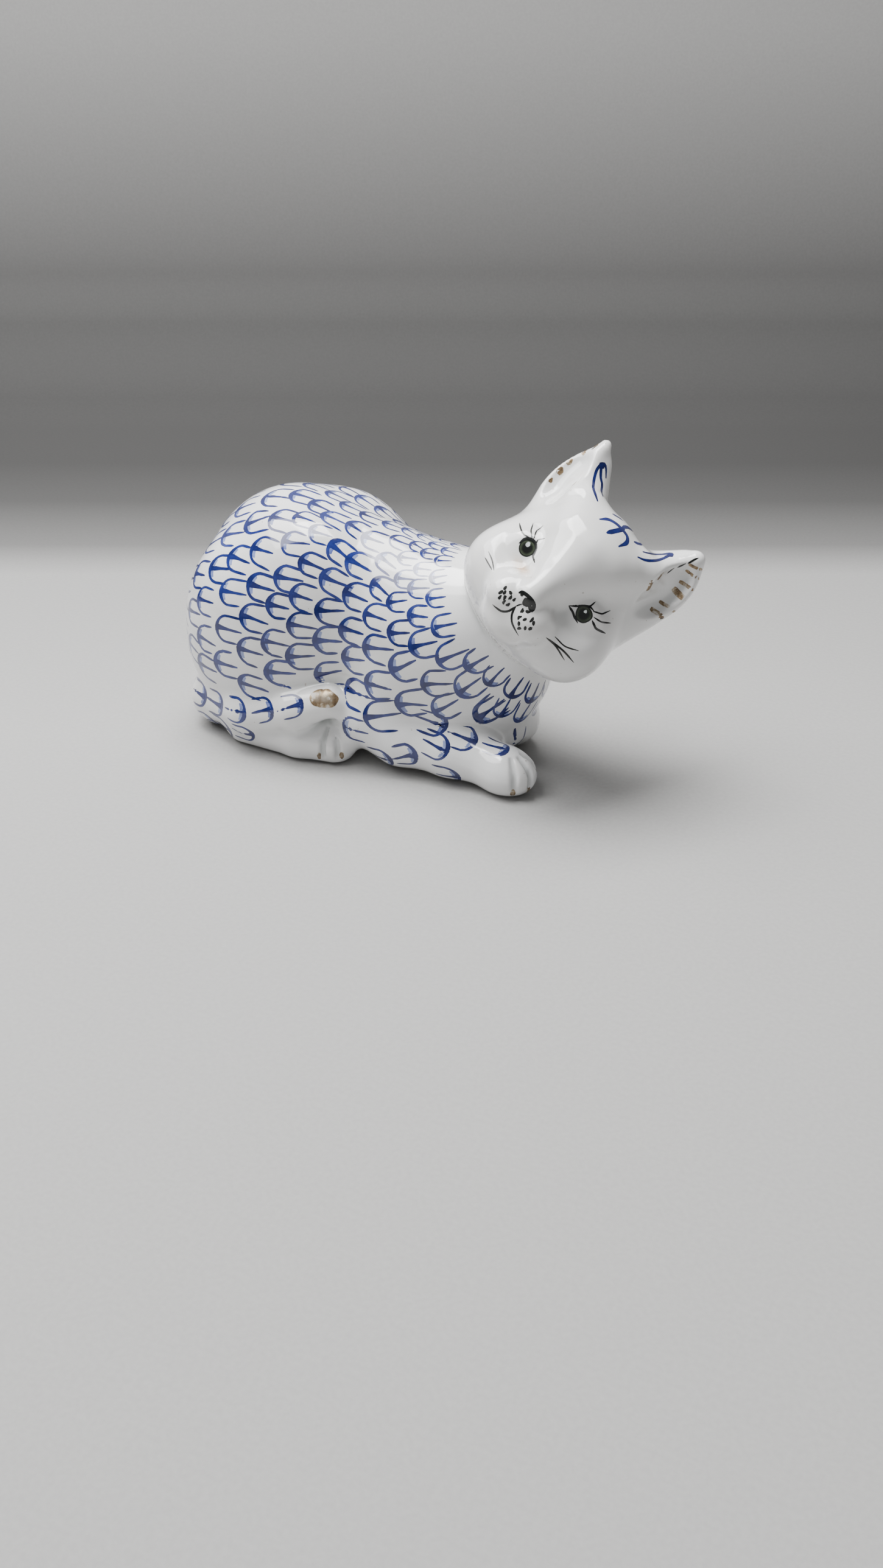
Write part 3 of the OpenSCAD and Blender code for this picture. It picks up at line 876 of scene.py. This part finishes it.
def on_face(flat):
    """Points of the face from (x, z) in the head's frame, looking from the front."""
    flat = np.asarray(flat, float)
    q = np.column_stack([flat[:, 0], np.zeros(len(flat)), flat[:, 1]])
    front = np.tile(from_head([(0, -1, 0)]) - HEAD_AT, (len(q), 1))
    return first_exit(head_side, from_head(q), front, 40)


def enamel_material(name, stops, blot_scale=500, roughness=0.2):
    """Overglaze enamel whose tone follows the brush's ink, broken by fine mottling. The white one is a painted
    highlight on the eyes.
    """
    material, nodes, links, shader = node_material(name)
    shade = ramp(nodes, links, attribute(nodes, "ink"), stops)
    blot = ramp(nodes, links, noise(nodes, links, blot_scale, 4, 0.65),
                [(0.35, (0.65,) * 3), (0.68, (1.3,) * 3)])
    links.new(mix(nodes, links, 1.0, shade, blot, "MULTIPLY"), shader.inputs["Base Color"])
    shader.inputs["Roughness"].default_value = roughness
    shader.inputs["Coat Weight"].default_value = 0.1
    bump(nodes, links, shader, noise(nodes, links, 700, 2), 0.3, 0.0001)
    return material


BLACK_LINE = enamel_material("black_enamel", [(0.2, (0.018, 0.019, 0.017)), (1.0, (0.003, 0.004, 0.004))])
IRIS = enamel_material("olive_iris", [(0.0, (0.003, 0.004, 0.004)), (0.52, (0.005, 0.006, 0.005)),
                                      (0.64, (0.02, 0.027, 0.016)), (0.80, (0.045, 0.056, 0.036)),
                                      (0.88, (0.010, 0.013, 0.009)), (1.0, (0.002, 0.003, 0.003))], 420, 0.12)
# white of the painted highlights: dots that stand for light glinting on the eyes
EYE_HIGHLIGHT_PAINT = enamel_material("painted_eye_highlight", [(0.0, (0.78, 0.80, 0.80)), (1.0, (0.45, 0.5, 0.48))])

EYE_AT = {RIGHT: (-10.6, -0.3), LEFT: (11.5, 0.1)}
IRIS_D = 4.5
# painted highlights on the irises, where light glints on the eyes: (place as x and z, size)
CATCHLIGHTS = {RIGHT: ((-11.2, 0.4), 1.5), LEFT: ((11.2, 0.8), 1.0)}
# lines of the face: (points as x and z, width in mm, ink)
FACE_LINES = [
    ([(-12.9, -1.2), (-12.9, 0.5), (-12, 1.8), (-10.6, 2.1), (-9.1, 1.3), (-7.9, -0.6), (-6.2, -1.2)],
      0.8, 0.95),
    ([(-11.6, 2), (-14.5, 1.2), (-17.6, 2.2)], 0.44, 0.8),
    ([(-11.8, 2.2), (-13.8, 3.3), (-15.2, 4.8)], 0.38, 0.7),
    ([(-11.3, 2.3), (-12.8, 4.4), (-12.9, 6.4)], 0.38, 0.7),
    ([(-10, 2), (-10.5, 3.2), (-9.7, 4.7)], 0.38, 0.7),
    ([(7.4, -1.5), (8.9, 0.2), (9.9, 1.5), (11.2, 2.5), (12.8, 2.5)], 0.62, 1.0),
    ([(7.4, -1.5), (9.2, -1.7), (10.6, -2.2), (12.2, -2.5)], 0.6, 0.9),
    ([(9.9, 1.5), (10.9, 2.8), (10.8, 4.4)], 0.44, 0.9),
    ([(12.3, 2.3), (14.2, 3.8), (14.7, 5.8)], 0.44, 0.9),
    ([(13.5, 1.5), (15.7, 2.3), (17.2, 3.9)], 0.44, 0.9),
    ([(13.9, 0.7), (16.3, 0.2), (18.4, 1.2)], 0.62, 0.9),
    ([(10.2, -10.8), (15.2, -9.7), (19.2, -9.6)], 0.5, 0.9),
    ([(10.2, -10.8), (13.3, -10.4), (17.3, -11)], 0.44, 0.8),
    ([(11.3, -9), (14.8, -8.6), (17.7, -6.7)], 0.38, 0.65),
    ([(-11.4, -10.3), (-14, -9), (-16.4, -8.4)], 0.38, 0.6),
    ([(-11.8, -10.6), (-13.8, -10.3), (-15.8, -10)], 0.38, 0.6),
    ([(-0.3, -11.4), (-0.6, -13.6), (-2, -15.2), (-4.6, -15.8)], 0.62, 0.85),
    ([(-0.3, -11.4), (0.5, -13.5), (2.4, -15), (5.6, -15.7)], 0.62, 0.9),
    ([(-0.3, -11.5), (0, -10.6), (0.4, -9.8)], 0.38, 0.8),
]
NOSE_LINES = [([(-2.4, -8.9), (-1.7, -8), (0.5, -7.5), (2.4, -7.8), (3.3, -9.2), (2.8, -10)], 1.0, 1.0)]
NOSE_DABS = [((0.9, -8.9), 2.4, 2.6), ((2.6, -9), 1.3, 1.7), ((-1.5, -8.5), 1.0, 1.1)]
PAD_DOTS = [(-5.4, -12.2), (-5.5, -10.7), (-3.7, -10.4), (-1.8, -10.8), (-4.7, -11.5), (-3.7, -12.3),
            (-2.8, -11.2), (-3, -13.2), (-1.9, -12.8), (-4.6, -13.2), (1.6, -11), (2.7, -10.1),
            (2.4, -12.6), (3.7, -11.9), (3.5, -13.7), (4.9, -10.6), (5.8, -10.8), (5.4, -13.2),
            (6.3, -12.3), (4.4, -14.4)]
DOWN = -HEAD_AXES[:, 2]


def paint_face():
    black = Paint()
    for flat, width, ink in FACE_LINES + NOSE_LINES:
        black.line(on_face(smooth_line(flat, 1.2)), width, ink)
    for place, length, width in NOSE_DABS:
        black.patch(on_face([place])[0], DOWN, length, width, 0.9, LIFT * 0.9, 0.08)
    for place in PAD_DOTS:
        black.patch(on_face([place])[0], DOWN + rng.normal(0, 0.4, 3), rng.uniform(1.15, 1.6),
                    rng.uniform(0.72, 0.92), 1.0, LIFT, 0.1, 3, 12)
    black.lay("face_black_lines", BLACK_LINE, "black_enamel")
    eyes, lights = Paint(), Paint()
    for side in (RIGHT, LEFT):
        eyes.patch(on_face([EYE_AT[side]])[0], DOWN, IRIS_D, IRIS_D, 1.0, LIFT * 1.3, 0.015, 10, 44)
        # a painted highlight on each iris
        place, size = CATCHLIGHTS[side]
        lights.patch(on_face([place])[0], DOWN, size, size * 0.9, 1.0, LIFT * 2.4, 0.06, 4, 20)
    eyes.lay("painted_irises", IRIS, "black_enamel")
    lights.lay("eye_catchlights", EYE_HIGHLIGHT_PAINT, "porcelain")


paint_face()

# ---------------------------------------------------------------- worn gold


def gold_material():
    """Thin gold that has rubbed away to brown bole and, in places, to the glaze."""
    material, nodes, links, shader = node_material("worn_gold_lustre")
    wear = noise(nodes, links, 420, 5, 0.7)
    color = ramp(nodes, links, wear, [(0.34, (0.07, 0.045, 0.025)), (0.46, (0.21, 0.14, 0.075)),
                                      (0.55, (0.35, 0.27, 0.17)), (0.66, (0.66, 0.63, 0.58))])
    rubbed = ramp(nodes, links, attribute(nodes, "ink"), [(0.2, (0.6,) * 3), (0.7, (0.0,) * 3)])
    color = mix(nodes, links, rubbed, color, (0.37, 0.325, 0.265))
    links.new(color, shader.inputs["Base Color"])
    shine = ramp(nodes, links, wear, [(0.4, (0.1,) * 3), (0.48, (0.6,) * 3),
                                      (0.58, (0.5,) * 3), (0.64, (0.0,) * 3)])
    links.new(shine, shader.inputs["Metallic"])
    shader.inputs["Roughness"].default_value = 0.38
    bump(nodes, links, shader, noise(nodes, links, 900, 3), 0.4, 0.0001)
    return material


GOLD = gold_material()
# gold dashes on the rims of the ears, in the head's frame: (start, end, width)
EAR_GOLD = [((17.6, -3.2, 28.9), (21.4, -0.5, 31), 0.8), ((18.3, -2.2, 27.4), (22.4, -0.1, 28.7), 0.85),
            ((19.5, -1.2, 24.4), (23.8, -0.3, 25.7), 1.0), ((19.8, -1, 22.1), (24.4, -0.5, 22.5), 1.7),
            ((20.1, -1.4, 17.2), (25, 0.6, 18.7), 1.0), ((20.2, -2.8, 14.3), (24.4, -0.3, 15.1), 1.4),
            ((16.6, -7.8, 16.4), (15.2, -10.4, 18.7), 1.5), ((15.9, -8.2, 20), (15.4, -7.5, 22.4), 1.1),
            ((-22.4, -1, 15), (-23, -0.4, 16.2), 1.1), ((-22.9, -0.4, 18), (-23.6, -0.1, 20), 1.9),
            ((-23.2, 0.1, 21.4), (-23.4, 0, 23.4), 1.4), ((-22.5, -0.4, 26), (-22.7, -0.4, 27.8), 1.2),
            ((-21.6, -0.8, 29.4), (-21.4, -0.9, 31), 0.8), ((-17.1, -7.1, 18.6), (-17.1, -6.2, 20.2), 1.0)]
EAR_DASHES = [((16, -5.4, 23), (16.1, -4.4, 25.4)), ((16.4, -3.8, 26), (16.9, -3.2, 28.4)),
              ((17.2, -3, 28.8), (18, -2.2, 31.6)), ((-21.2, -1.2, 28.6), (-20.8, -1.1, 30.6))]
CLAWS = [((49.9, -21.6, 2.5), 1.5), ((52.9, -17.8, 2.4), 1.3),
         ((-7.4, -28.9, 3.0), 1.2), ((-1.5, -27, 3.4), 1.5)]
TAIL_TIP_GOLD = [((-3.8, -29.5, 22.4), 7.8, 6.6), ((-6.3, -30, 22.5), 4.8, 5.8)]


def paint_gold():
    gold, rim = Paint(), Paint()
    for start, end, width in EAR_GOLD:
        middle = (np.array(start) + end) / 2 + rng.normal(0, 0.1, 3)
        gold.line(from_head([start, middle, end]), width, 1, LIFT, (0.7, 0.35))
    for start, end in EAR_DASHES:
        rim.line(from_head([start, (np.array(start) + end) / 2, end]), 0.55, 1.0)
    for place, width in CLAWS:
        gold.patch(place, np.array([0, 0, 1.0]), 2.6, width, 1, LIFT, 0.08)
    for place, length, width in TAIL_TIP_GOLD:
        gold.patch(place, np.array([1.0, 0, 0.3]), length, width, 1, LIFT * 1.2, 0.03, 8, 30)
    gold.lay("worn_gold_touches", GOLD, "worn_gold")
    rim.lay("ear_rim_dashes", BLACK_LINE, "black_enamel")


paint_gold()

# ---------------------------------------------------------------- the luted neck seam

SEAM_STEPS = 150
SEAM_W, SEAM_H = 3.0, 0.46


def add_seam():
    """A low bead of slip that runs round the neck, a little uneven where it was wiped with a brush."""
    turn_to = np.linspace(0, 2 * math.pi, SEAM_STEPS, endpoint=False)
    across, rise = np.array([0, 1.0, 0]), np.cross(NECK_AXIS, (0, 1, 0))
    out = np.outer(np.cos(turn_to), across) + np.outer(np.sin(turn_to), rise)
    loop = first_exit(cat_field, np.tile(NECK_AT, (SEAM_STEPS, 1)), out, 40)
    waves = sum(np.sin(turn_to * k + rng.uniform(0, 6)) / k ** 0.5 for k in (3, 7, 12, 19, 31)) * 0.2
    arc = np.radians(np.linspace(-90, 90, 9))
    rows, depths = [], []
    for angle in arc:
        offset = SEAM_W / 2 * (1 + 0.3 * waves) * math.sin(angle) + 0.25 * waves
        rows.append(loop + np.outer(offset, NECK_AXIS))
        depths.append(SEAM_H * (1 + 0.6 * waves) * math.cos(angle) - 0.02)
    for side in (1, -0.3, -1):
        rows.append(loop + NECK_AXIS * SEAM_W / 2 * side * 0.9)
        depths.append(np.full(SEAM_STEPS, -0.3))
    k, n = len(rows), SEAM_STEPS
    points = settle(np.vstack(rows))
    points += normals_at(points) * np.concatenate(depths)[:, None]
    i, m = np.meshgrid(np.arange(k), np.arange(n), indexing="ij")
    a, b = (i * n + m).ravel(), (((i + 1) % k) * n + m).ravel()
    c, d = (((i + 1) % k) * n + (m + 1) % n).ravel(), (i * n + (m + 1) % n).ravel()
    faces = np.vstack([np.column_stack([a, b, c]), np.column_stack([a, c, d])])
    add_mesh("neck_seam_slip", points, faces, slip_material(), replaces=["neck_seam_bead"])


def slip_material():
    material, nodes, links, shader = node_material("crackled_slip")
    cells = nodes.new("ShaderNodeTexVoronoi")
    cells.feature = "DISTANCE_TO_EDGE"
    cells.inputs["Scale"].default_value = 700
    coords = nodes.new("ShaderNodeTexCoord")
    links.new(coords.outputs["Object"], cells.inputs["Vector"])
    cracks = ramp(nodes, links, cells.outputs["Distance"],
                  [(0.0, (0.22, 0.22, 0.23)), (0.05, (0.77, 0.77, 0.76))])
    tone = ramp(nodes, links, noise(nodes, links, 40, 3), [(0.45, (0.0,) * 3), (0.6, (1.0,) * 3)])
    links.new(mix(nodes, links, tone, (0.77, 0.77, 0.76), cracks), shader.inputs["Base Color"])
    shader.inputs["Roughness"].default_value = 0.14
    shader.inputs["Coat Weight"].default_value = 0.5
    bump(nodes, links, shader, cells.outputs["Distance"], 0.3, 0.0001)
    return material


add_seam()

# ---------------------------------------------------------------- studio


CAMERA_YAW = math.radians(27.8)
CAMERA_PITCH = math.radians(30.4)
CAMERA_PLACE = (0.1918, -0.3323, 0.2058)
FILM_HEIGHT = 24.0
LENS = 22.36
# the sweep, in metres: floor in front and behind, radius of the bend, height of the wall, width; its steps
SWEEP_FRONT, SWEEP_BACK, SWEEP_R, SWEEP_H, SWEEP_W = 1.2, 0.30, 0.06, 0.6, 2.4
FLOOR_STEP, WALL_STEP, BEND_STEPS = 0.005, 0.01, 33
PAPER = (0.43, 0.426, 0.42)
# painted light and shade on the paper, (metres along the paper, tone): pale round the figurine, dark behind it,
# and paler up the wall
PAPER_PAINTED_SHADE = [
    (0.0, 0.9), (0.12, 0.75), (0.15, 0.35), (0.2, 0.18), (0.25, 0.14), (0.33, 0.15), (0.37, 0.22),
    (0.4, 0.45), (0.5, 0.8),
]


def paper_material():
    material, nodes, links, shader = node_material("grey_paper_painted_shade")
    grain = ramp(nodes, links, noise(nodes, links, 900, 3),
                 [(0.3, tuple(c * 0.96 for c in PAPER)), (0.7, tuple(c * 1.03 for c in PAPER))])
    # the grain times the painted light and shade along the paper
    color = mix(nodes, links, 1.0, grain, attribute(nodes, "shade"), "MULTIPLY")
    links.new(color, shader.inputs["Base Color"])
    shader.inputs["Roughness"].default_value = 1.0
    shader.inputs["Specular IOR Level"].default_value = 0.0
    return material


def add_sweep():
    """A paper sweep: a flat floor that bends up into a backdrop, far enough back to walk round the cat. Light
    and shade are painted into its colour along it.
    """
    arc = np.linspace(0, math.pi / 2, BEND_STEPS)
    floor = np.arange(0, SWEEP_BACK, FLOOR_STEP)
    wall = np.arange(SWEEP_R + WALL_STEP, SWEEP_H + WALL_STEP / 2, WALL_STEP)
    profile = np.vstack([np.column_stack([floor, np.zeros(len(floor))]),
                         np.column_stack([SWEEP_BACK + SWEEP_R * np.sin(arc), SWEEP_R * (1 - np.cos(arc))]),
                         np.column_stack([np.full(len(wall), SWEEP_BACK + SWEEP_R), wall])])
    run = np.concatenate([[0], np.cumsum(np.linalg.norm(np.diff(profile, axis=0), axis=1))])
    profile, run = np.vstack([(-SWEEP_FRONT, 0), profile]), np.concatenate([[0], run])
    toward = Vector((-math.sin(CAMERA_YAW), math.cos(CAMERA_YAW), 0))
    across = Vector((math.cos(CAMERA_YAW), math.sin(CAMERA_YAW), 0))
    verts = [tuple(toward * y + across * x + Vector((0, 0, z)))
             for y, z in profile for x in (-SWEEP_W / 2, SWEEP_W / 2)]
    mesh = bpy.data.meshes.new("studio_sweep")
    mesh.from_pydata(verts, [], [(2 * i, 2 * i + 1, 2 * i + 3, 2 * i + 2) for i in range(len(profile) - 1)])
    mesh.shade_smooth()
    # painted light and shade, by metres along the paper
    shade = np.repeat(np.interp(run, *zip(*PAPER_PAINTED_SHADE)), 2)
    mesh.attributes.new("shade", "FLOAT", "POINT").data.foreach_set("value", shade.astype(np.float32))
    mesh.materials.append(paper_material())
    sweep = bpy.data.objects.new("studio_sweep", mesh)
    bpy.context.collection.objects.link(sweep)


def add_light(name, place, target, power, size, size_y=None):
    data = bpy.data.lights.new(name, "AREA")
    data.energy = power
    data.shape = "RECTANGLE"
    data.size = size
    data.size_y = size_y or size
    light = bpy.data.objects.new(name, data)
    light.location = place
    light.rotation_mode = "QUATERNION"
    light.rotation_quaternion = (Vector(target) - Vector(place)).to_track_quat("-Z", "Y")
    bpy.context.collection.objects.link(light)


def add_camera():
    data = bpy.data.cameras.new("studio_camera")
    data.sensor_fit = "VERTICAL"
    data.sensor_height = FILM_HEIGHT
    data.lens = LENS
    camera = bpy.data.objects.new("studio_camera", data)
    camera.location = CAMERA_PLACE
    camera.rotation_euler = (math.pi / 2 - CAMERA_PITCH, 0, CAMERA_YAW)
    bpy.context.collection.objects.link(camera)
    bpy.context.scene.camera = camera


WORLD_LIGHT = 0.14
LIGHTS_AIM = (0.0, 0.0, 0.03)
# softboxes: (name, place in metres, power in watts, size in metres)
SOFTBOXES = [("top_softbox", (-0.10, 0.08, 0.80), 12, (0.52, 0.42)),
             ("left_softbox", (-0.34, -0.12, 0.68), 8, (0.62, 0.52)),
             ("front_softbox", (0.15, -0.75, 0.55), 1.1, (1.6, 1.0))]

add_camera()
add_sweep()
world = bpy.data.worlds.new("studio")
world.use_nodes = True
world.node_tree.nodes["Background"].inputs["Color"].default_value = (0.98, 0.98, 1.0, 1)
world.node_tree.nodes["Background"].inputs["Strength"].default_value = WORLD_LIGHT
bpy.context.scene.world = world
for name, place, power, size in SOFTBOXES:
    add_light(name, place, LIGHTS_AIM, power, *size)
